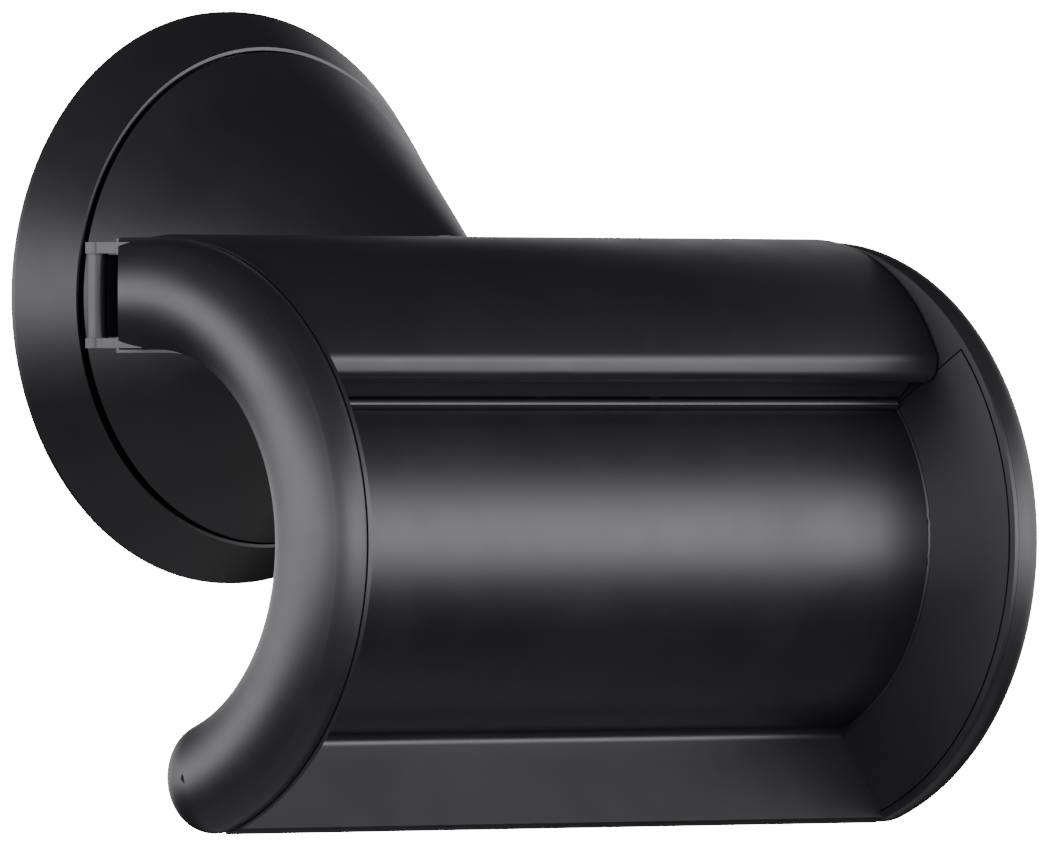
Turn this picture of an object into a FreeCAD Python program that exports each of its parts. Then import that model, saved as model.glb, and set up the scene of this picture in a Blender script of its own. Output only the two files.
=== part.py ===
import FreeCAD, Part
import math
import os

# Wall-mounted hair dryer holder.
# The wall is the plane y = 0, the holder stands out from it toward -Y, +Z is up and
# the origin is the middle of the round wall flange.  Lengths are in millimetres.
# "n" below means the distance out from the wall (n = -y).

# ---- wall side ------------------------------------------------------------------
rosette_r = 45.0            # outer radius of the wall flange
rosette_lip_r = 39.3        # radius of the flange's front edge
rosette_depth = 8.9         # front edge of the flange, out from the wall
rosette_skin = 1.7          # wall thickness of the flange shell
gasket_thick = 0.8          # foam between plate and wall
plate_r = 41.5              # steel wall plate
plate_thick = 3.0
screw_circle_r = 24.0       # circle that carries the wall screw holes
wall_screw_count = 3
wall_screw_hole_r = 2.3
wall_screw_sink_r = 4.4
collar_r = 31.0             # round collar on the plate that carries the neck
collar_wall = 3.0
plate_bore_r = 14.0         # middle of the plate left open to the wall
collar_len = 6.0
sleeve_wall = 3.0           # sleeve of the neck that slides over the collar
slide_fit = 0.08            # radial clearance of sliding and running fits
grub_r = 2.0                # locking screw under the flange
grub_play = 0.6             # clearance of the hole in the flange round the screw
grub_turn = 30.0            # its place round the flange, degrees from the lowest point

# ---- cone-shaped neck -----------------------------------------------------------
neck_base_n = 9.8           # where the cone starts, out from the wall
neck_base_r = 38.5
neck_tip_n = 51.2           # where the cone meets the back of the cradle
neck_tip_r = 9.5
neck_skin = 3.6             # wall of the hollow cone, measured square to its axis
neck_solid_len = 9.0        # solid length behind the tip
tongue_len = 10.0           # flat tongue that reaches into the cradle
tongue_half_width = 9.0
tongue_half_height = 5.0

# ---- cradle ---------------------------------------------------------------------
axis_n = 63.2               # channel axis, out from the wall
axis_z = -37.9              # channel axis, below the middle of the flange
channel_r = 29.0            # clear radius of the half-open channel
lining_thick = 0.7
shell_thick = 1.3
drum_r = 32.0               # floor of the recess on the outside
rim_r = 46.5                # outer radius of the two end rims
cradle_half_len = 67.4      # end face of the rims from the middle
floor_inset = 5.6           # from the end face in to the end of the recess floor
rim_band = 0.8              # width of the rim outside the recess's slanted side
insert_edge_r = 45.4        # outer edge of the recess insert on the slanted side
insert_edge_thick = 0.5
insert_gap = 0.25            # parting line between the insert's edge and the frames
open_angle = -73.0          # lower end of the C, degrees from straight out
wall_angle = -69.4          # lower wall of the recess
upper_angle = 40.5          # upper end of the recess sides
ridge_angle = 42.0          # upper end of the small ridge under the roof
ridge_height = 1.0
ridge_width_angle = 2.6
seam_angle = 1.0
seam_depth = 0.5
recess_fillet = 1.5
back_n = neck_tip_n         # flat back of the cradle

# ---- roof -----------------------------------------------------------------------
roof_r = 35.0               # radius of the roof's curve
roof_top_z = 9.2
roof_thick = 2.2
lip_angle = 24.5            # where the roof ends, degrees from straight out
lip_drop = 2.2              # height of the rolled lip
undercut_depth = 5.8
undercut_rise = 1.2

# ---- folding bows ---------------------------------------------------------------
bow_half_height = 8.6       # half of the bow's section, square to its curve
bow_half_width = 6.2        # how far it bulges past its middle plane
bow_edge_r = 4.6            # rounding of its two edges
bow_over_rim = 0.15         # how far the bow stands proud of the rim
bow_mid_out = 1.8           # middle plane of the bow, out from the end face
bow_gap = 0.2               # air between the bow's flat back and the rim
bow_tip_angle = -70.0       # centre of the rounded tip
pin_n = 52.8                # hinge pin, out from the wall
pin_out = 5.1               # hinge pin, out from the end face
pin_r = 0.8
barrel_r = 1.4
knuckle_r = 1.9
barrel_top_z = 6.1
barrel_bottom_z = -6.5
knuckle_top_z = 8.0
knuckle_bottom_z = -8.2
washer_thick = 0.2
web_half_thick = 1.0
web_gap = 0.8               # from the barrel's web to the bow's root
root_slant = 41.8           # slant of the bow's root in plan, degrees
root_reach = 3.2            # from the pin to the root, square to the slant

# ---- fasteners ------------------------------------------------------------------
small_shank_r = 1.25
small_head_r = 2.4
small_head_len = 1.2
boss_r = 3.0
frame_screw_len = 12.0
roof_screw_len = 12.0
neck_screw_len = 9.0
hinge_strap_reach = 8.5     # how far the knuckles' straps run into the bow
frame_screw_spots = ((59.2, 0.0), (70.0, 0.0), (81.5, -5.2))
roof_screw_x = (30.0, 50.0)
roof_screw_n = 57.5
neck_screw_x = 5.0
bulkhead_thick = 2.5
cheek_gap = 2.0             # from the tongue's side to the bulkheads beside it

floor_half_len = cradle_half_len - floor_inset
rim_edge_half_len = cradle_half_len - rim_band
bow_mid_half_len = cradle_half_len + bow_mid_out
pin_half_len_pos = cradle_half_len + pin_out

V = FreeCAD.Vector
ALONG = V(1, 0, 0)
UP = V(0, 0, 1)
OUT = V(0, -1, 0)
shell_in_r = channel_r + lining_thick
shell_out_r = shell_in_r + shell_thick
frame_in_x = floor_half_len - 0.8
slant = (rim_edge_half_len - floor_half_len) / (rim_r - drum_r)
bow_r = rim_r + bow_over_rim - bow_half_height
roof_axis_z = roof_top_z - roof_r
roof_under_z = roof_top_z - roof_thick
CHANNEL_AXIS = V(0, -axis_n, axis_z)


def at(n, z, x=0.0):
    return V(x, -n, z)


def polar(r, degrees, x=0.0):
    a = math.radians(degrees)
    return at(axis_n + r * math.cos(a), axis_z + r * math.sin(a), x)


def roof_point(r, degrees, x=0.0):
    a = math.radians(degrees)
    return at(axis_n + r * math.cos(a), roof_axis_z + r * math.sin(a), x)


def line(a, b):
    return Part.LineSegment(a, b).toShape()


def arc(a, m, b):
    return Part.Arc(a, m, b).toShape()


def face(edges):
    return Part.Face(Part.Wire(edges))


def polygon(points):
    return Part.Face(Part.makePolygon(list(points) + [points[0]]))


def prism(profile, x0, x1):
    moved = profile.copy()
    moved.translate(V(x0, 0, 0))
    return moved.extrude(V(x1 - x0, 0, 0))


def box(x0, x1, n0, n1, z0, z1):
    return Part.makeBox(x1 - x0, n1 - n0, z1 - z0, V(x0, -n1, z0))


def rod(r, start, direction, length):
    return Part.makeCylinder(r, length, start, direction)


def fuse(pieces):
    return pieces[0].multiFuse(pieces[1:]).removeSplitter()


def turned(profile):
    """Solid of revolution about the middle of the flange from (n, r) points."""
    pts = [V(r, -n, 0) for n, r in profile]
    return polygon(pts).revolve(V(0, 0, 0), V(0, 1, 0), 360)


def sector_face(r0, r1, a0, a1):
    am = (a0 + a1) / 2
    return face([
        arc(polar(r0, a0), polar(r0, am), polar(r0, a1)),
        line(polar(r0, a1), polar(r1, a1)),
        arc(polar(r1, a1), polar(r1, am), polar(r1, a0)),
        line(polar(r1, a0), polar(r0, a0)),
    ])


def c_face(r0, r1, a0, n_end):
    am = (a0 + 90.0) / 2
    return face([
        arc(polar(r0, a0), polar(r0, am), polar(r0, 90)),
        line(polar(r0, 90), at(n_end, axis_z + r0)),
        line(at(n_end, axis_z + r0), at(n_end, axis_z + r1)),
        line(at(n_end, axis_z + r1), polar(r1, 90)),
        arc(polar(r1, 90), polar(r1, am), polar(r1, a0)),
        line(polar(r1, a0), polar(r0, a0)),
    ])


def swept(section, a0, a1):
    """Revolve an (r, x) outline about the channel axis from angle a0 to a1."""
    pts = [polar(r, a0, x) for r, x in section]
    return polygon(pts).revolve(CHANNEL_AXIS, V(-1, 0, 0), a1 - a0)


def straight(section, n_end):
    """Run an (r, x) outline straight back toward the wall from the top."""
    pts = [polar(r, 90, x) for r, x in section]
    return polygon(pts).extrude(V(0, axis_n - n_end, 0))


def side_x(r):
    return floor_half_len + slant * (r - drum_r)


def mirrored(shape):
    return shape.mirror(V(0, 0, 0), ALONG)


def set_aside(shape):
    """Turns a feature of the locking screw round the flange to its place."""
    return shape.rotated(V(0, 0, 0), OUT, grub_turn)


# ---- wall side ------------------------------------------------------------------
plate_front = gasket_thick + plate_thick
collar_front = plate_front + collar_len
sleeve_in_r = collar_r + slide_fit
sleeve_out_r = sleeve_in_r + sleeve_wall


def build_gasket():
    ring = rod(plate_r, at(0, 0), OUT, gasket_thick)
    ring = ring.cut(rod(plate_bore_r, at(-1, 0), OUT, gasket_thick + 2))
    for i in range(wall_screw_count):
        a = math.radians(90 + 360 * i / wall_screw_count)
        spot = V(screw_circle_r * math.cos(a), 1, screw_circle_r * math.sin(a))
        ring = ring.cut(rod(wall_screw_hole_r, spot, OUT, gasket_thick + 2))
    return ring


def build_plate():
    plate = turned([
        (gasket_thick, plate_bore_r),
        (gasket_thick, plate_r),
        (plate_front, plate_r),
        (plate_front, collar_r),
        (collar_front, collar_r),
        (collar_front, collar_r - collar_wall),
        (plate_front, collar_r - collar_wall),
        (plate_front, plate_bore_r),
    ])
    for i in range(wall_screw_count):
        a = math.radians(90 + 360 * i / wall_screw_count)
        spot = V(screw_circle_r * math.cos(a), 0, screw_circle_r * math.sin(a))
        plate = plate.cut(rod(wall_screw_hole_r, spot + V(0, 1, 0), OUT, plate_front + 2))
        depth = wall_screw_sink_r - wall_screw_hole_r
        sink = Part.makeCone(wall_screw_hole_r, wall_screw_sink_r, depth,
                             spot + V(0, -(plate_front - depth), 0), OUT)
        plate = plate.cut(sink)
    # blind seat for the tip of the locking screw
    seat = set_aside(rod(grub_r, at(grub_n, -collar_r - 1), UP, 2.2))
    return plate.cut(seat)


grub_n = plate_front + 2.6


def build_rosette():
    slope = (rosette_r - rosette_lip_r) / (rosette_depth - gasket_thick)
    shell = turned([
        (0.0, rosette_r),
        (gasket_thick, rosette_r),
        (rosette_depth - 0.3, rosette_lip_r + 0.3 * slope),
        (rosette_depth, rosette_lip_r),
        (rosette_depth, rosette_lip_r - 0.5),
        (rosette_depth - 0.7, rosette_lip_r - 0.9),
        (rosette_depth - 0.7, sleeve_out_r + 0.3),
        (rosette_depth - 0.7 - rosette_skin, sleeve_out_r + 0.3),
        (rosette_depth - 0.7 - rosette_skin, rosette_lip_r - 1.5),
        (plate_front + 0.1, rosette_lip_r - 1.5),
        (plate_front + 0.1, plate_r + slide_fit),
        (0.0, plate_r + slide_fit),
    ])
    way_in = rod(grub_r + grub_play, at(grub_n, -rosette_r - 2), UP, rosette_r - sleeve_out_r + 3)
    return shell.cut(set_aside(way_in))


def build_neck():
    cone = Part.makeCone(neck_base_r, neck_tip_r, neck_tip_n - neck_base_n, at(neck_base_n, 0), OUT)
    fall = (neck_base_r - neck_tip_r) / (neck_tip_n - neck_base_n)
    inner_len = neck_tip_n - neck_solid_len - neck_base_n
    inner_r = neck_base_r - neck_skin
    hollow = Part.makeCone(inner_r, inner_r - fall * inner_len, inner_len, at(neck_base_n, 0), OUT)
    sleeve_start = plate_front + 0.3
    sleeve = rod(sleeve_out_r, at(sleeve_start, 0), OUT, neck_base_n + 4.0 - sleeve_start)
    sleeve = sleeve.common(fuse([
        rod(sleeve_out_r, at(sleeve_start, 0), OUT, neck_base_n - sleeve_start + 0.01),
        cone,
    ]))
    sleeve = sleeve.cut(rod(sleeve_in_r, at(0, 0), OUT, neck_base_n + 6.0))
    tongue = box(-tongue_half_width, tongue_half_width, neck_tip_n - 2.0, neck_tip_n + tongue_len,
                 -tongue_half_height, tongue_half_height)
    inside_cone = box(-60, 60, neck_tip_n - 3.0, neck_tip_n, -60, 60).common(tongue).cut(cone)
    neck = fuse([cone.cut(hollow), sleeve, tongue.cut(inside_cone)])
    neck = neck.cut(set_aside(rod(grub_r, at(grub_n, -sleeve_out_r - 1), UP, sleeve_wall + 2)))
    for x in (-neck_screw_x, neck_screw_x):
        neck = neck.cut(rod(small_shank_r, V(x, -neck_screw_n, -tongue_half_height - 1), UP, 8.0))
    return neck


neck_screw_n = neck_tip_n + tongue_len / 2


def build_grub():
    screw = rod(grub_r, at(grub_n, -sleeve_out_r), UP, sleeve_out_r - collar_r + 1.2)
    socket = Part.makeCylinder(grub_r * 0.5, 1.6, at(grub_n, -sleeve_out_r), UP)
    return set_aside(screw.cut(socket))


# ---- cradle ---------------------------------------------------------------------
def roof_inside_face():
    inner = roof_r - roof_thick
    return face([
        line(at(back_n, roof_under_z), at(axis_n, roof_under_z)),
        arc(at(axis_n, roof_under_z), roof_point(inner, 57), roof_point(inner, lip_angle)),
        line(roof_point(inner, lip_angle), undercut_inner()),
        line(undercut_inner(), polar(shell_in_r + 0.4, ridge_angle + 0.6)),
        line(polar(shell_in_r + 0.4, ridge_angle + 0.6), at(axis_n, axis_z)),
        line(at(axis_n, axis_z), at(back_n, axis_z)),
        line(at(back_n, axis_z), at(back_n, roof_under_z)),
    ])


def undercut_outer():
    lip = lip_under()
    return V(0, lip.y + undercut_depth, lip.z - undercut_rise)


def undercut_inner():
    low = undercut_outer()
    return V(0, low.y - 0.3, low.z + 1.6)


def lip_under():
    tip = roof_point(roof_r, lip_angle)
    return V(0, tip.y + 1.2, tip.z - lip_drop)


def build_roof(frames):
    inner = roof_r - roof_thick
    tip = roof_point(roof_r, lip_angle)
    bulge = V(0, tip.y - 0.15, tip.z - lip_drop * 0.6)
    skin = face([
        line(at(back_n, roof_top_z), at(axis_n, roof_top_z)),
        arc(at(axis_n, roof_top_z), roof_point(roof_r, 57), tip),
        arc(tip, bulge, lip_under()),
        line(lip_under(), undercut_outer()),
        line(undercut_outer(), undercut_inner()),
        line(undercut_inner(), roof_point(inner, lip_angle)),
        arc(roof_point(inner, lip_angle), roof_point(inner, 57), at(axis_n, roof_under_z)),
        line(at(axis_n, roof_under_z), at(back_n, roof_under_z)),
        line(at(back_n, roof_under_z), at(back_n, roof_top_z)),
    ])
    roof = prism(skin, -rim_edge_half_len, rim_edge_half_len)
    for x in roof_screw_spots():
        post = rod(boss_r - 0.4, V(x, -roof_screw_n, -2.0), UP, roof_under_z + 2.5)
        roof = roof.fuse(post)
    for x in roof_screw_spots():
        roof = roof.cut(rod(small_shank_r, V(x, -roof_screw_n, -3.0), UP, roof_under_z + 2.0))
    for other in frames:
        roof = roof.cut(other)
    return roof.removeSplitter()


def roof_screw_spots():
    return [s * x for s in (-1, 1) for x in roof_screw_x]


def build_shell(frames):
    core = prism(c_face(shell_in_r, shell_out_r, open_angle, back_n), -frame_in_x, frame_in_x)
    flange_top = (open_angle + wall_angle) / 2
    flange = prism(sector_face(shell_in_r, rim_r, open_angle, flange_top),
                   -rim_edge_half_len, rim_edge_half_len)
    flange = flange.cut(frames[0]).cut(frames[1])
    plate_top = axis_z + shell_out_r
    back_wall = box(-frame_in_x, frame_in_x, back_n, back_n + 2.0, plate_top - 0.5, roof_under_z)
    pad = box(-tongue_half_width - cheek_gap - 0.5, tongue_half_width + cheek_gap + 0.5,
              back_n, back_n + tongue_len + 1.0, plate_top - 0.5, -tongue_half_height)
    cavity = roof_inside_face()
    keep_out = rod(shell_in_r + 0.4, V(-90, -axis_n, axis_z), ALONG, 180)
    low_box = box(-90, 90, 0, axis_n, -90, plate_top - 0.6)
    pieces = [core, flange, back_wall, pad]
    cheek = tongue_half_width + cheek_gap
    for x0, x1 in ((-frame_in_x, -frame_in_x + bulkhead_thick), (-cheek - 1.8, -cheek),
                   (cheek, cheek + 1.8), (frame_in_x - bulkhead_thick, frame_in_x)):
        pieces.append(prism(cavity, x0, x1).cut(keep_out).cut(low_box))
    for side in (-1, 1):
        for n, z in frame_screw_spots:
            start = V(side * frame_in_x, -n, z)
            pieces.append(rod(boss_r, start, V(-side, 0, 0), frame_screw_len - 4.0))
    for x in roof_screw_spots():
        pieces.append(rod(boss_r, V(x, -roof_screw_n, plate_top - 0.5), UP, -2.0 - plate_top + 0.5))
    shell = fuse(pieces)
    opening = box(-tongue_half_width - slide_fit, tongue_half_width + slide_fit, back_n - 1,
                  back_n + tongue_len + 0.5, -tongue_half_height, tongue_half_height + slide_fit)
    shell = shell.cut(opening)
    under = axis_z + shell_in_r
    for x in roof_screw_spots():
        shell = shell.cut(rod(small_head_r + slide_fit, V(x, -roof_screw_n, under - 1), UP,
                              small_head_len + 1.0))
        shell = shell.cut(rod(small_shank_r, V(x, -roof_screw_n, under - 1), UP, 9.0))
    for x in (-neck_screw_x, neck_screw_x):
        shell = shell.cut(rod(small_head_r + slide_fit, V(x, -neck_screw_n, under - 1), UP,
                              small_head_len + 1.0))
        shell = shell.cut(rod(small_shank_r, V(x, -neck_screw_n, under - 1), UP, 6.0))
    for side in (-1, 1):
        for n, z in frame_screw_spots:
            start = V(side * (frame_in_x + 1), -n, z)
            shell = shell.cut(rod(small_shank_r, start, V(-side, 0, 0), frame_screw_len - 4.0))
    return shell


def build_lining():
    strip = prism(c_face(channel_r, shell_in_r, open_angle + 1.0, back_n + 0.6),
                  -frame_in_x, frame_in_x)
    return strip


def build_insert():
    end = insert_edge_r
    section = [
        (shell_out_r, -side_x(shell_out_r) - 1.4),
        (shell_out_r, side_x(shell_out_r) + 1.4),
        (end, side_x(end) + insert_edge_thick),
        (end, side_x(end)),
        (drum_r, floor_half_len),
        (drum_r, -floor_half_len),
        (end, -side_x(end)),
        (end, -side_x(end) - insert_edge_thick),
    ]
    saddle = swept(section, wall_angle, upper_angle)
    flange_top = (open_angle + wall_angle) / 2
    low_section = [
        (shell_out_r, -side_x(shell_out_r) - 1.4),
        (shell_out_r, side_x(shell_out_r) + 1.4),
        (end, side_x(end) + insert_edge_thick),
        (end, side_x(end)),
        (rim_r, rim_edge_half_len),
        (rim_r, -rim_edge_half_len),
        (end, -side_x(end)),
        (end, -side_x(end) - insert_edge_thick),
    ]
    low_wall = swept(low_section, flange_top, wall_angle)
    # rounded inner corner between the floor and the lower wall
    corner_angle = math.degrees(math.asin(recess_fillet / (drum_r + recess_fillet)))
    wedge_len = side_x(drum_r + recess_fillet) + 0.3
    wedge = prism(sector_face(drum_r - 0.2, drum_r + recess_fillet, wall_angle - 0.5,
                              wall_angle + corner_angle), -wedge_len, wedge_len)
    groove = rod(recess_fillet, polar(drum_r + recess_fillet, wall_angle + corner_angle, -80),
                 ALONG, 160)
    wedge = wedge.cut(groove)
    ridge = prism(sector_face(shell_out_r, drum_r + ridge_height, ridge_angle - ridge_width_angle,
                              ridge_angle), -floor_half_len + 0.1, floor_half_len - 0.1)
    piece = fuse([saddle, low_wall, wedge, ridge])
    seam_top = ridge_angle - ridge_width_angle
    seam = prism(sector_face(drum_r - seam_depth, drum_r + 0.3, seam_top - seam_angle, seam_top),
                 -floor_half_len + 0.4, floor_half_len - 0.4)
    return piece.cut(seam)


def frame_section():
    return [
        (channel_r, frame_in_x),
        (channel_r, cradle_half_len),
        (rim_r, cradle_half_len),
        (rim_r, rim_edge_half_len),
        (drum_r, floor_half_len),
        (shell_out_r, floor_half_len),
        (shell_out_r, frame_in_x),
    ]


def frame_section_behind_insert():
    return [
        (channel_r, frame_in_x),
        (channel_r, cradle_half_len),
        (rim_r, cradle_half_len),
        (rim_r, rim_edge_half_len),
        (insert_edge_r + insert_gap, side_x(insert_edge_r + insert_gap)),
        (insert_edge_r + insert_gap, side_x(insert_edge_r) + insert_edge_thick),
        (insert_edge_r, side_x(insert_edge_r) + insert_edge_thick),
        (shell_out_r, side_x(shell_out_r) + 1.4),
        (shell_out_r, frame_in_x),
    ]


def build_far_frame():
    flange_top = (open_angle + wall_angle) / 2
    low = swept(frame_section(), open_angle, flange_top)
    pocket_top = upper_angle + math.degrees(insert_gap / insert_edge_r)
    middle = swept(frame_section_behind_insert(), flange_top, pocket_top)
    high = swept(frame_section(), pocket_top, 90)
    arm = straight(frame_section(), back_n)
    barrel = rod(barrel_r, V(pin_half_len_pos, -pin_n, barrel_bottom_z), UP,
                 barrel_top_z - barrel_bottom_z)
    web = box(cradle_half_len - 1.0, pin_half_len_pos, pin_n - web_half_thick, pin_n + web_half_thick,
              barrel_bottom_z, barrel_top_z)
    frame = fuse([low, middle, high, arm, barrel, web])
    frame = frame.cut(rod(pin_r, V(pin_half_len_pos, -pin_n, -20), UP, 40))
    for n, z in frame_screw_spots:
        frame = frame.cut(rod(small_head_r + slide_fit, V(cradle_half_len + 1, -n, z), V(-1, 0, 0),
                              small_head_len + 1.1))
        frame = frame.cut(rod(small_shank_r, V(cradle_half_len + 1, -n, z), V(-1, 0, 0),
                              frame_screw_len))
    return frame


# ---- folding bows ---------------------------------------------------------------
def build_far_bow():
    mid = bow_mid_half_len
    back = cradle_half_len + bow_gap - mid
    r = bow_edge_r
    crown_r = ((bow_half_height - r) ** 2 + bow_half_width ** 2 - r ** 2) / (2 * (bow_half_width - r))
    reach = bow_half_height - r
    lean = math.atan2(crown_r - bow_half_width, reach)
    joint = (reach + r * math.cos(lean), r * math.sin(lean))
    side = reach + math.sqrt(r ** 2 - back ** 2)

    def outline(centre, radial):
        def p(h, w):
            return centre + radial * h + ALONG * w
        return face([
            arc(p(side, back), p(bow_half_height, 0), p(*joint)),
            arc(p(*joint), p(0, bow_half_width), p(-joint[0], joint[1])),
            arc(p(-joint[0], joint[1]), p(-bow_half_height, 0), p(-side, back)),
            line(p(-side, back), p(side, back)),
        ])

    def half_outline(centre, radial):
        def p(h, w):
            return centre + radial * h + ALONG * w
        h = crown_r * math.sin(math.atan2(joint[0], crown_r - bow_half_width + joint[1]) / 2)
        w = bow_half_width - crown_r + math.sqrt(crown_r ** 2 - h ** 2)
        return face([
            line(p(0, back), p(side, back)),
            arc(p(side, back), p(bow_half_height, 0), p(*joint)),
            arc(p(*joint), p(h, w), p(0, bow_half_width)),
            line(p(0, bow_half_width), p(0, back)),
        ])

    start = polar(bow_r, bow_tip_angle, mid)
    a = math.radians(bow_tip_angle)
    radial = V(0, -math.cos(a), math.sin(a))
    curve = outline(start, radial).revolve(CHANNEL_AXIS, V(-1, 0, 0), 90 - bow_tip_angle)
    arm = outline(at(axis_n, axis_z + bow_r, mid), UP).extrude(V(0, axis_n - pin_n, 0))
    cap = half_outline(start, radial).revolve(start, ALONG, 360)
    bow = fuse([curve, arm, cap])
    # slanted root that leaves room for the hinge barrel and its web
    pin = V(pin_half_len_pos, -pin_n, 0)
    s = math.radians(root_slant)
    along_slant = V(math.sin(s), -math.cos(s), 0)
    square_to_slant = V(-math.cos(s), -math.sin(s), 0)
    edge = pin + square_to_slant * root_reach
    behind = pin - square_to_slant * 40
    waste = polygon([
        edge + along_slant * 60 + V(0, 0, -30),
        edge - along_slant * 60 + V(0, 0, -30),
        behind - along_slant * 60 + V(0, 0, -30),
        behind + along_slant * 60 + V(0, 0, -30),
    ]).extrude(V(0, 0, 60))
    bow = bow.cut(waste)
    bow = bow.cut(box(0, pin_half_len_pos, 0, pin_n + web_half_thick + web_gap, -30, 30))
    knuckles = []
    for z0, z1 in ((barrel_top_z + washer_thick, knuckle_top_z),
                   (knuckle_bottom_z, barrel_bottom_z - washer_thick)):
        knuckles.append(rod(knuckle_r, pin + V(0, 0, z0), UP, z1 - z0))
        strap_n = pin_n + hinge_strap_reach
        strap = polygon([
            V(pin_half_len_pos + knuckle_r, -pin_n, z0),
            V(mid + 1.8, -strap_n, z0),
            V(mid - 1.0, -strap_n, z0),
            V(pin_half_len_pos - knuckle_r, -pin_n, z0),
        ]).extrude(V(0, 0, z1 - z0))
        knuckles.append(strap)
    bow = fuse([bow] + knuckles)
    return bow.cut(rod(pin_r + slide_fit / 2, pin + V(0, 0, -20), UP, 40))


def build_far_pin():
    return rod(pin_r, V(pin_half_len_pos, -pin_n, knuckle_bottom_z + 0.2), UP,
               knuckle_top_z - knuckle_bottom_z - 0.4)


def build_far_washers():
    rings = []
    for z in (barrel_top_z, barrel_bottom_z - washer_thick):
        ring = rod(barrel_r + 0.2, V(pin_half_len_pos, -pin_n, z), UP, washer_thick)
        rings.append(ring.cut(rod(pin_r + slide_fit / 2, V(pin_half_len_pos, -pin_n, z - 1), UP, 3)))
    return Part.makeCompound(rings)


def screw(start, direction, length):
    head = rod(small_head_r, start, direction, small_head_len)
    shank = rod(small_shank_r, start, direction, length)
    body = head.fuse(shank).removeSplitter()
    slot_a = Part.makeCylinder(small_head_r * 0.35, 0.7, start, direction)
    return body.cut(slot_a)


def build_far_frame_screws():
    return Part.makeCompound([
        screw(V(cradle_half_len, -n, z), V(-1, 0, 0), frame_screw_len) for n, z in frame_screw_spots
    ])


def build_roof_screws():
    under = axis_z + shell_in_r
    return Part.makeCompound([
        screw(V(x, -roof_screw_n, under), UP, roof_screw_len) for x in roof_screw_spots()
    ])


def build_neck_screws():
    under = axis_z + shell_in_r
    return Part.makeCompound([
        screw(V(x, -neck_screw_n, under), UP, neck_screw_len) for x in (-neck_screw_x, neck_screw_x)
    ])


far_frame = build_far_frame()
near_frame = mirrored(far_frame)
frame_blanks = [
    fuse([
        swept(frame_section(), open_angle, 90),
        straight(frame_section(), back_n),
    ]),
]
frame_blanks.append(mirrored(frame_blanks[0]))
far_bow = build_far_bow()
far_pin = build_far_pin()
far_washers = build_far_washers()
far_frame_screws = build_far_frame_screws()

nodes = {
    "wall_gasket": build_gasket(),
    "wall_plate": build_plate(),
    "rosette": build_rosette(),
    "neck": build_neck(),
    "grub_screw": build_grub(),
    "cradle_shell": build_shell(frame_blanks),
    "channel_lining": build_lining(),
    "roof_cover": build_roof(frame_blanks),
    "recess_insert": build_insert(),
    "far_end_frame": far_frame,
    "near_end_frame": near_frame,
    "far_bow": far_bow,
    "near_bow": mirrored(far_bow),
    "far_hinge_pin": far_pin,
    "near_hinge_pin": mirrored(far_pin),
    "far_hinge_washers": far_washers,
    "near_hinge_washers": mirrored(far_washers),
    "far_frame_screws": far_frame_screws,
    "near_frame_screws": mirrored(far_frame_screws),
    "roof_screws": build_roof_screws(),
    "neck_screws": build_neck_screws(),
}

os.makedirs("parts", exist_ok=True)
for name, shape in nodes.items():
    shape.exportStep("parts/" + name + ".step")
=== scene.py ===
import math

import bmesh
import bpy
from mathutils import Matrix, Vector


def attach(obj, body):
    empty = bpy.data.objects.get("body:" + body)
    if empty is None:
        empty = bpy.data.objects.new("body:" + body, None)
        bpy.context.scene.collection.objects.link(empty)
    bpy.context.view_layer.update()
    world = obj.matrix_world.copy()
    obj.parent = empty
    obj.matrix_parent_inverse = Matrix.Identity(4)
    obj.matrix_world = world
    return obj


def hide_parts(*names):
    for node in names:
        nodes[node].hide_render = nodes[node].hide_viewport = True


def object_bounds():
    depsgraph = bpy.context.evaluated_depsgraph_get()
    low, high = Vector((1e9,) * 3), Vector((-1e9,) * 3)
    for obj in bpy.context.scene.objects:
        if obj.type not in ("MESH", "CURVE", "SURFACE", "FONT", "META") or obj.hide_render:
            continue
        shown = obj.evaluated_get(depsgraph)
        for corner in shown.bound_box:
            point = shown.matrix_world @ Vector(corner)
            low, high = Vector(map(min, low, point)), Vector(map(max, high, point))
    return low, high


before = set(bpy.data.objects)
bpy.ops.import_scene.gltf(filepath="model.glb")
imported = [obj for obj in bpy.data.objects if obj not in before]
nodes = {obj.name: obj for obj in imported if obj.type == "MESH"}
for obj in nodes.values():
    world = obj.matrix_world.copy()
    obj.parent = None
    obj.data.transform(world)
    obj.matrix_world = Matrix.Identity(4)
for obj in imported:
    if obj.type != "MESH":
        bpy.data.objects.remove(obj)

cad_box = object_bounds()
scene = bpy.context.scene
MM = 0.001


# ---- materials ------------------------------------------------------------------------
def new_material(name):
    mat = bpy.data.materials.new(name)
    mat.use_nodes = True
    tree = mat.node_tree
    shader = tree.nodes["Principled BSDF"]
    return mat, tree, shader


def node(tree, kind, **values):
    made = tree.nodes.new(kind)
    for key, value in values.items():
        if key in made.inputs:
            made.inputs[key].default_value = value
        else:
            setattr(made, key, value)
    return made


def ramp(tree, source, low, high, low_value, high_value, kind="LINEAR"):
    """Maps a value from low..high to low_value..high_value, clamped at both ends."""
    mapped = node(tree, "ShaderNodeMapRange", interpolation_type=kind)
    mapped.inputs["From Min"].default_value = low
    mapped.inputs["From Max"].default_value = high
    mapped.inputs["To Min"].default_value = low_value
    mapped.inputs["To Max"].default_value = high_value
    tree.links.new(source, mapped.inputs["Value"])
    return mapped.outputs["Result"]


CLOUD_SCALE = 38.0
SMEAR_SCALE = 140.0
ROUGH_SPREAD = 0.025
SMEAR_ROUGH = 0.03
RUBBED = 2.6                   # how much paler a rubbed edge is
GRAIN_DEPTH = 0.00002


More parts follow.
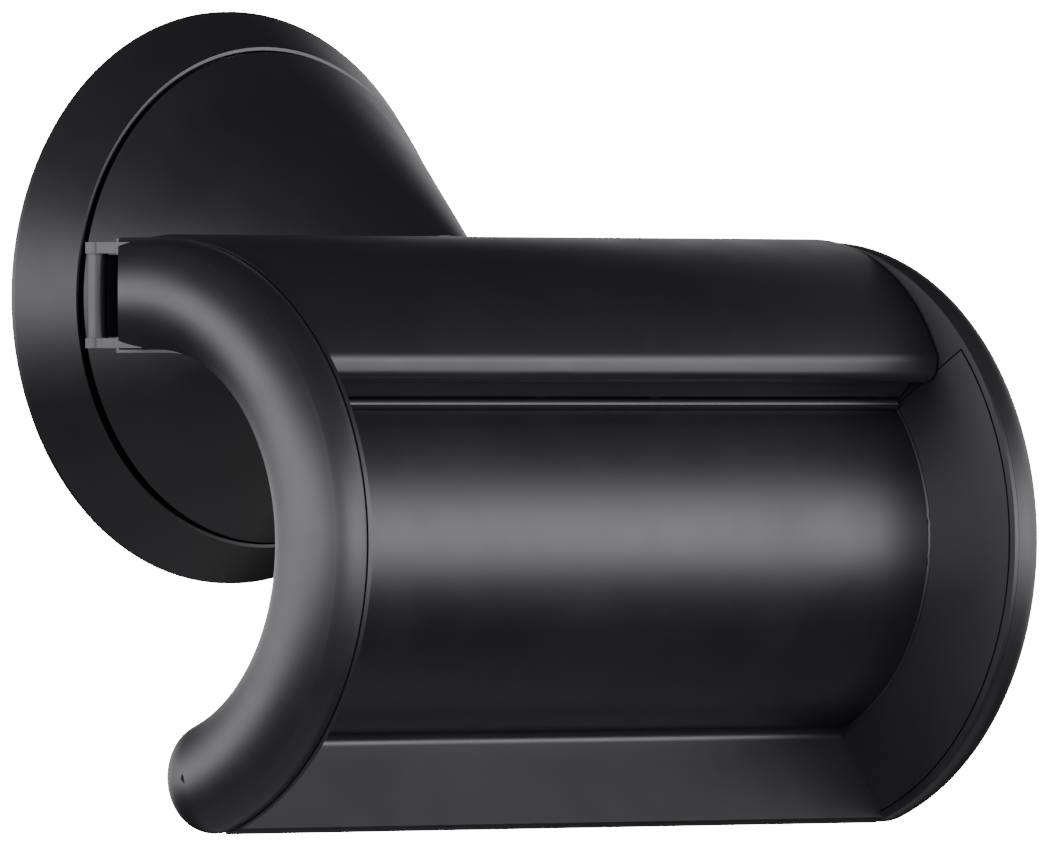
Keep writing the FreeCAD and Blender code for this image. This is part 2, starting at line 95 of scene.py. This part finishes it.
def moulded(name, colour, rough, grain=2600.0, bump=0.10, wear=0.25):
    """Satin moulded plastic: fine spark-eroded grain, cloudy sheen and rubbed edges."""
    mat, tree, shader = new_material(name)
    links = tree.links
    place = node(tree, "ShaderNodeTexCoord").outputs["Object"]
    fine = node(tree, "ShaderNodeTexNoise", Scale=grain, Detail=4.0, Roughness=0.65)
    cloud = node(tree, "ShaderNodeTexNoise", Scale=CLOUD_SCALE, Detail=5.0, Roughness=0.55)
    smear = node(tree, "ShaderNodeTexNoise", Scale=SMEAR_SCALE, Detail=3.0, Roughness=0.5)
    for texture in (fine, cloud, smear):
        links.new(place, texture.inputs["Vector"])
    # colour: slight clouds over the base, edges rubbed paler
    base = node(tree, "ShaderNodeMix", data_type="RGBA")
    tint = ramp(tree, cloud.outputs["Fac"], 0.35, 0.65, 0.0, 1.0)
    links.new(tint, base.inputs["Factor"])
    base.inputs["A"].default_value = (*[c * 0.90 for c in colour], 1)
    base.inputs["B"].default_value = (*[c * 1.10 for c in colour], 1)
    geometry = node(tree, "ShaderNodeNewGeometry")
    edge = ramp(tree, geometry.outputs["Pointiness"], 0.52, 0.58, 0.0, wear)
    worn = node(tree, "ShaderNodeMix", data_type="RGBA")
    links.new(edge, worn.inputs["Factor"])
    links.new(base.outputs["Result"], worn.inputs["A"])
    worn.inputs["B"].default_value = (*[c * RUBBED for c in colour[:2]], colour[2] * (RUBBED + 0.1), 1)
    links.new(worn.outputs["Result"], shader.inputs["Base Color"])
    # roughness: clouds and finger smears
    mix = node(tree, "ShaderNodeMath", operation="ADD")
    sheen = ramp(tree, cloud.outputs["Fac"], 0.3, 0.7, rough - ROUGH_SPREAD, rough + ROUGH_SPREAD)
    links.new(sheen, mix.inputs[0])
    links.new(ramp(tree, smear.outputs["Fac"], 0.4, 0.7, 0.0, SMEAR_ROUGH), mix.inputs[1])
    links.new(mix.outputs["Value"], shader.inputs["Roughness"])
    relief = node(tree, "ShaderNodeBump", Strength=bump, Distance=GRAIN_DEPTH)
    links.new(fine.outputs["Fac"], relief.inputs["Height"])
    links.new(relief.outputs["Normal"], shader.inputs["Normal"])
    return mat


def metal(name, colour, rough, scale=900.0, squeeze=(1, 1, 30)):
    """Turned or plated steel with fine lay lines and small stains."""
    mat, tree, shader = new_material(name)
    links = tree.links
    place = node(tree, "ShaderNodeTexCoord").outputs["Object"]
    spread = node(tree, "ShaderNodeMapping")
    spread.inputs["Scale"].default_value = squeeze
    links.new(place, spread.inputs["Vector"])
    lay = node(tree, "ShaderNodeTexNoise", Scale=scale, Detail=3.0)
    links.new(spread.outputs["Vector"], lay.inputs["Vector"])
    stain = node(tree, "ShaderNodeTexNoise", Scale=120.0, Detail=6.0)
    links.new(place, stain.inputs["Vector"])
    tone = node(tree, "ShaderNodeMix", data_type="RGBA")
    links.new(ramp(tree, stain.outputs["Fac"], 0.35, 0.7, 0.0, 1.0), tone.inputs["Factor"])
    tone.inputs["A"].default_value = (*colour, 1)
    tone.inputs["B"].default_value = (*[c * 0.72 for c in colour], 1)
    links.new(tone.outputs["Result"], shader.inputs["Base Color"])
    links.new(ramp(tree, lay.outputs["Fac"], 0.3, 0.7, rough - 0.06, rough + 0.08),
              shader.inputs["Roughness"])
    relief = node(tree, "ShaderNodeBump", Strength=0.2, Distance=GRAIN_DEPTH)
    links.new(lay.outputs["Fac"], relief.inputs["Height"])
    links.new(relief.outputs["Normal"], shader.inputs["Normal"])
    shader.inputs["Metallic"].default_value = 1.0
    return mat


def soft(name, colour, rough, pores=1500.0, bump=0.3):
    """Foam or soft rubber with open pores."""
    mat, tree, shader = new_material(name)
    links = tree.links
    place = node(tree, "ShaderNodeTexCoord").outputs["Object"]
    cells = node(tree, "ShaderNodeTexVoronoi", Scale=pores)
    cloud = node(tree, "ShaderNodeTexNoise", Scale=60.0, Detail=4.0)
    links.new(place, cells.inputs["Vector"])
    links.new(place, cloud.inputs["Vector"])
    tone = node(tree, "ShaderNodeMix", data_type="RGBA")
    links.new(ramp(tree, cells.outputs["Distance"], 0.1, 0.6, 0.0, 1.0), tone.inputs["Factor"])
    tone.inputs["A"].default_value = (*[c * 0.6 for c in colour], 1)
    tone.inputs["B"].default_value = (*[c * 1.25 for c in colour], 1)
    links.new(tone.outputs["Result"], shader.inputs["Base Color"])
    links.new(ramp(tree, cloud.outputs["Fac"], 0.3, 0.7, rough - 0.05, rough + 0.05),
              shader.inputs["Roughness"])
    relief = node(tree, "ShaderNodeBump", Strength=bump, Distance=0.00005)
    links.new(cells.outputs["Distance"], relief.inputs["Height"])
    links.new(relief.outputs["Normal"], shader.inputs["Normal"])
    return mat


CHARCOAL = (0.0045, 0.0043, 0.0056)
finishes = {
    "shell": moulded("satin charcoal", CHARCOAL, 0.38),
    "rosette": moulded("satin charcoal flange", CHARCOAL, 0.38),
    "neck": moulded("satin charcoal neck", (0.0042, 0.0040, 0.0052), 0.40),
    "insert": moulded("satin charcoal recess", (0.0045, 0.0043, 0.0058), 0.36),
    "bow": moulded("soft-touch charcoal", (0.0055, 0.0052, 0.0068), 0.38, grain=3200.0, bump=0.14),
    "inner": moulded("matt black inside", (0.004, 0.004, 0.0045), 0.6, bump=0.25),
    "lining": soft("ribbed rubber", (0.016, 0.016, 0.017), 0.75),
    "foam": soft("closed-cell foam", (0.02, 0.02, 0.02), 0.9, pores=2200.0, bump=0.6),
    "plate": metal("zinc-plated steel", (0.55, 0.56, 0.57), 0.38),
    "pin": metal("ground steel", (0.50, 0.50, 0.51), 0.25),
    "screw": metal("blackened steel", (0.06, 0.06, 0.065), 0.4),
    "nylon": moulded("black nylon", (0.02, 0.02, 0.02), 0.5, wear=0.1),
}
by_node = {
    "wall_gasket": "foam",
    "wall_plate": "plate",
    "rosette": "rosette",
    "neck": "neck",
    "grub_screw": "screw",
    "cradle_shell": "inner",
    "channel_lining": "lining",
    "roof_cover": "shell",
    "recess_insert": "insert",
    "far_end_frame": "shell",
    "near_end_frame": "shell",
    "far_bow": "bow",
    "near_bow": "bow",
    "far_hinge_pin": "pin",
    "near_hinge_pin": "pin",
    "far_hinge_washers": "nylon",
    "near_hinge_washers": "nylon",
    "far_frame_screws": "screw",
    "near_frame_screws": "screw",
    "roof_screws": "screw",
    "neck_screws": "screw",
}
CREASE = 18                    # degrees; sharper folds stay crisp
for name, obj in nodes.items():
    obj.data.materials.clear()
    obj.data.materials.append(finishes[by_node[name]])
    for polygon in obj.data.polygons:
        polygon.use_smooth = True
    smooth = obj.modifiers.new("soft edges", "EDGE_SPLIT")
    smooth.split_angle = math.radians(CREASE)

# ---- roof with its rolled lip, as moulded ------------------------------------------------
# millimetres; n is out from the wall and z is up
AXIS_N, AXIS_Z = 63.2, -37.9          # channel axis
ROOF_N, ROOF_Z, ROOF_R = 63.2, -25.8, 35.0
DRUM_R, FLOOR_X = 32.0, 61.8          # recess floor and its half length
RIM_R, RIM_X = 46.5, 66.6             # where the slanted side reaches the rim
END_GAP = 0.18                        # shadow gap at both ends of the roof
END_ROUND = 0.5
ROOF_SKIN = 2.0
LIP_TOP_ANGLE = 29.0                  # where the roof's curve turns into the lip
LIP_BLEND_R = 3.2
LIP_FACE_LOW = -11.6                  # foot of the lip's upright face
LIP_ROLL_R = 1.9
BACK_N = 51.3                         # the roof's back edge
ARC_STEPS, ROLL_STEPS, INNER_STEPS = 40, 8, 30
UNDER_STEPS = ((4.6, 0.5), (6.4, 0.9))       # underside of the lip, inward from its face and up
# dark back wall of the undercut, standing on the top of the recess
UNDERCUT_WALL = ((90.3, -12.9), (88.5, -15.6), (87.0, -15.4), (88.0, -12.0))
INNER_TURN = 1.25                     # where the inner curve starts, as a share of the lip's angle


def side_x(n, z):
    reach = math.hypot(n - AXIS_N, z - AXIS_Z)
    return FLOOR_X + (RIM_X - FLOOR_X) * (reach - DRUM_R) / (RIM_R - DRUM_R)


def on_roof(radius, angle):
    return ROOF_N + radius * math.cos(angle), ROOF_Z + radius * math.sin(angle)


def roof_profile():
    """Outline of the roof's section, from its back edge over the top and round the lip."""
    outline = [(BACK_N, ROOF_Z + math.sqrt(ROOF_R ** 2 - (BACK_N - ROOF_N) ** 2))]
    start = math.atan2(outline[0][1] - ROOF_Z, outline[0][0] - ROOF_N)
    stop = math.radians(LIP_TOP_ANGLE)
    for i in range(1, ARC_STEPS + 1):
        outline.append(on_roof(ROOF_R, start + (stop - start) * i / ARC_STEPS))
    blend_n, blend_z = on_roof(ROOF_R - LIP_BLEND_R, stop)
    for i in range(1, ROLL_STEPS + 1):
        a = stop * (1 - i / ROLL_STEPS)
        outline.append((blend_n + LIP_BLEND_R * math.cos(a), blend_z + LIP_BLEND_R * math.sin(a)))
    face_n = blend_n + LIP_BLEND_R
    outline.append((face_n, LIP_FACE_LOW))
    for i in range(1, ROLL_STEPS + 1):
        a = -math.pi / 2 * i / ROLL_STEPS
        outline.append((face_n - LIP_ROLL_R + LIP_ROLL_R * math.cos(a),
                        LIP_FACE_LOW + LIP_ROLL_R * math.sin(a)))
    under = LIP_FACE_LOW - LIP_ROLL_R
    outline += [(face_n - inward, under + rise) for inward, rise in UNDER_STEPS]
    outline += UNDERCUT_WALL
    turn = stop * INNER_TURN
    outline += [on_roof(ROOF_R - ROOF_SKIN, turn + (start - turn) * i / INNER_STEPS)
                for i in range(INNER_STEPS + 1)]
    return outline


def section_normals(outline):
    """Outward direction at each point of a closed outline."""
    normals = []
    count = len(outline)
    for i in range(count):
        a, b = outline[i - 1], outline[(i + 1) % count]
        t = Vector((b[0] - a[0], b[1] - a[1])).normalized()
        normals.append((t.y, -t.x))
    area = sum(outline[i - 1][0] * outline[i][1] - outline[i][0] * outline[i - 1][1]
               for i in range(count))
    way = 1 if area > 0 else -1
    return [(way * n, way * z) for n, z in normals]


def add_piece(name, rings, finish, sharp=40):
    """Closed skin over a row of rings that have the same number of points."""
    count = len(rings[0])
    faces = []
    for k in range(len(rings) - 1):
        for i in range(count):
            j = (i + 1) % count
            faces.append((k * count + i, k * count + j, (k + 1) * count + j, (k + 1) * count + i))
    faces.append(tuple(range(count)))
    faces.append(tuple(reversed(range((len(rings) - 1) * count, len(rings) * count))))
    mesh = bpy.data.meshes.new(name)
    mesh.from_pydata([v for ring in rings for v in ring], [], faces)
    shaped = bmesh.new()
    shaped.from_mesh(mesh)
    bmesh.ops.recalc_face_normals(shaped, faces=shaped.faces)
    for edge in shaped.edges:
        edge.smooth = edge.calc_face_angle(0) < math.radians(sharp)
    for one in shaped.faces:
        one.smooth = True
    shaped.to_mesh(mesh)
    shaped.free()
    mesh.materials.append(finishes[finish])
    piece = bpy.data.objects.new(name, mesh)
    scene.collection.objects.link(piece)
    return piece


ROUNDING = ((0.0, END_ROUND), (0.3, 0.29), (0.7, 0.09), (1.0, 0.0))   # (share inward, depth) mm


def build_roof():
    outline = roof_profile()
    normals = section_normals(outline)
    rings = []
    for side in (-1, 1):
        for reach, sink in ROUNDING if side < 0 else reversed(ROUNDING):
            ring = []
            for (n, z), (dn, dz) in zip(outline, normals):
                x = side_x(n, z) - END_GAP - END_ROUND * reach
                ring.append((side * x * MM, -(n - dn * sink) * MM, (z - dz * sink) * MM))
            rings.append(ring)
    roof = add_piece("moulded_roof", rings, "shell")
    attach(roof, "cradle")
    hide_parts("roof_cover")


build_roof()

# ---- rounded ridge under the roof and crisp edges at the recess floor's ends ------------------
RIDGE_ANGLE = 40.8
RIDGE_REACH = 32.35
RIDGE_R = 0.95
EDGE_R = 0.32
EDGE_LOW, EDGE_HIGH = -58.0, 39.0
EDGE_STEPS = 60
RIDGE_STEPS = 24
RIDGE_HALF_LEN = 61.4


def add_bar(name, path, radius, around):
    """Round bar of the recess insert along a path of points in millimetres as (x, n, z)."""
    count = len(path)
    rings = []
    for i, spot in enumerate(path):
        ahead_point = Vector(path[min(i + 1, count - 1)])
        back_point = Vector(path[max(i - 1, 0)])
        way = (ahead_point - back_point).normalized()
        first = way.cross(Vector((0, 0, 1)))
        if first.length < 0.1:
            first = way.cross(Vector((1, 0, 0)))
        first.normalize()
        second = way.cross(first)
        ring = []
        for k in range(around):
            a = 2 * math.pi * k / around
            v = Vector(spot) + (first * math.cos(a) + second * math.sin(a)) * radius
            ring.append((v.x * MM, -v.y * MM, v.z * MM))
        rings.append(ring)
    bar = add_piece(name, rings, "insert", sharp=60)
    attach(bar, "cradle")


def on_channel(radius, degrees):
    a = math.radians(degrees)
    return AXIS_N + radius * math.cos(a), AXIS_Z + radius * math.sin(a)


def along(low, high, steps):
    return [low + (high - low) * i / steps for i in range(steps + 1)]


ridge_spot = on_channel(RIDGE_REACH, RIDGE_ANGLE)
add_bar("ridge_bead", [(x, *ridge_spot) for x in along(-RIDGE_HALF_LEN, RIDGE_HALF_LEN, RIDGE_STEPS)],
        RIDGE_R, around=16)
for side, name in ((-1, "floor_edge_near"), (1, "floor_edge_far")):
    bend = [(side * FLOOR_X, *on_channel(DRUM_R, a)) for a in along(EDGE_LOW, EDGE_HIGH, EDGE_STEPS)]
    add_bar(name, bend, EDGE_R, around=12)

# ---- camera ---------------------------------------------------------------------------
CAMERA_AZIMUTH = math.radians(-41.82)
CAMERA_ELEVATION = math.radians(0.04)
CAMERA_DISTANCE = 3.244
AIM_RIGHT = 0.0464
AIM_UP = -0.0198
SENSOR = 36.0
LENS = 708.4
right = Vector((math.cos(CAMERA_AZIMUTH), math.sin(CAMERA_AZIMUTH), 0))
toward = Vector((math.sin(CAMERA_AZIMUTH) * math.cos(CAMERA_ELEVATION),
                 -math.cos(CAMERA_AZIMUTH) * math.cos(CAMERA_ELEVATION),
                 math.sin(CAMERA_ELEVATION)))
up = toward.cross(right)
camera_data = bpy.data.cameras.new("camera")
camera_data.sensor_width = SENSOR
camera_data.lens = LENS
camera_data.clip_start = 0.1
camera_data.clip_end = 50.0
camera = bpy.data.objects.new("camera", camera_data)
scene.collection.objects.link(camera)
stand = toward * CAMERA_DISTANCE + right * AIM_RIGHT + up * AIM_UP
camera.matrix_world = Matrix.Translation(stand) @ Matrix((right, up, toward)).transposed().to_4x4()
scene.camera = camera

# ---- light ----------------------------------------------------------------------------
BACKDROP = 20.0                # white seen behind the object
BAND = 8.0                     # brightness of the wide soft light at eye height
BAND_LOW, BAND_CORE_LOW = -0.30, 0.0    # lower fade of that band, as sines of elevation
BAND_CORE_HIGH, BAND_HIGH = 0.06, 0.50  # upper fade
BEHIND = 0.18                  # share of the band that is left behind the object
AT_CAMERA = 0.50               # share of the band right behind the camera
FILL_LOW = 0.03                # brightness under the band
FILL_TOP = 0.028               # share of the band's brightness overhead
world = bpy.data.worlds.new("studio")
scene.world = world
world.use_nodes = True
tree = world.node_tree
background = tree.nodes["Background"]
background.inputs["Color"].default_value = (0.97, 0.96, 1.0, 1)
ray_way = node(tree, "ShaderNodeTexCoord").outputs["Generated"]
split = node(tree, "ShaderNodeSeparateXYZ")
tree.links.new(ray_way, split.inputs[0])
height = split.outputs["Z"]
low_side = ramp(tree, height, BAND_LOW, BAND_CORE_LOW, FILL_LOW, BAND, "SMOOTHSTEP")
high_side = ramp(tree, height, BAND_CORE_HIGH, BAND_HIGH, 1.0, FILL_TOP, "SMOOTHSTEP")
band = node(tree, "ShaderNodeMath", operation="MULTIPLY")
tree.links.new(low_side, band.inputs[0])
tree.links.new(high_side, band.inputs[1])
ahead = node(tree, "ShaderNodeVectorMath", operation="DOT_PRODUCT")
tree.links.new(ray_way, ahead.inputs[0])
ahead.inputs[1].default_value = toward
from_behind = ramp(tree, ahead.outputs["Value"], -0.7, 0.3, BEHIND, 1.0)
camera_dip = ramp(tree, ahead.outputs["Value"], 0.80, 0.97, 1.0, AT_CAMERA)
both = node(tree, "ShaderNodeMath", operation="MULTIPLY")
tree.links.new(from_behind, both.inputs[0])
tree.links.new(camera_dip, both.inputs[1])
strength = node(tree, "ShaderNodeMath", operation="MULTIPLY")
tree.links.new(band.outputs["Value"], strength.inputs[0])
tree.links.new(both.outputs["Value"], strength.inputs[1])
tree.links.new(strength.outputs["Value"], background.inputs["Strength"])
backdrop = node(tree, "ShaderNodeBackground", Color=(1, 1, 1, 1), Strength=BACKDROP)
seen = node(tree, "ShaderNodeLightPath")
choose = node(tree, "ShaderNodeMixShader")
tree.links.new(seen.outputs["Is Camera Ray"], choose.inputs["Fac"])
tree.links.new(background.outputs["Background"], choose.inputs[1])
tree.links.new(backdrop.outputs["Background"], choose.inputs[2])
tree.links.new(choose.outputs["Shader"], tree.nodes["World Output"].inputs["Surface"])

# plain pale floor under the wall-mounted holder, below the camera's view
FLOOR_DROP = 0.90
FLOOR_HALF = 0.8
floor_mesh = bpy.data.meshes.new("floor")
floor_mesh.from_pydata([(-FLOOR_HALF, -FLOOR_HALF, 0), (FLOOR_HALF, -FLOOR_HALF, 0),
                        (FLOOR_HALF, FLOOR_HALF, 0), (-FLOOR_HALF, FLOOR_HALF, 0)],
                       [], [(0, 1, 2, 3)])
floor = bpy.data.objects.new("floor", floor_mesh)
floor.location = (0, 0, cad_box[0][2] - FLOOR_DROP)
scene.collection.objects.link(floor)
floor_mat, _, floor_shader = new_material("pale floor")
floor_shader.inputs["Base Color"].default_value = (0.80, 0.80, 0.80, 1)
floor_shader.inputs["Roughness"].default_value = 0.8
floor_mesh.materials.append(floor_mat)
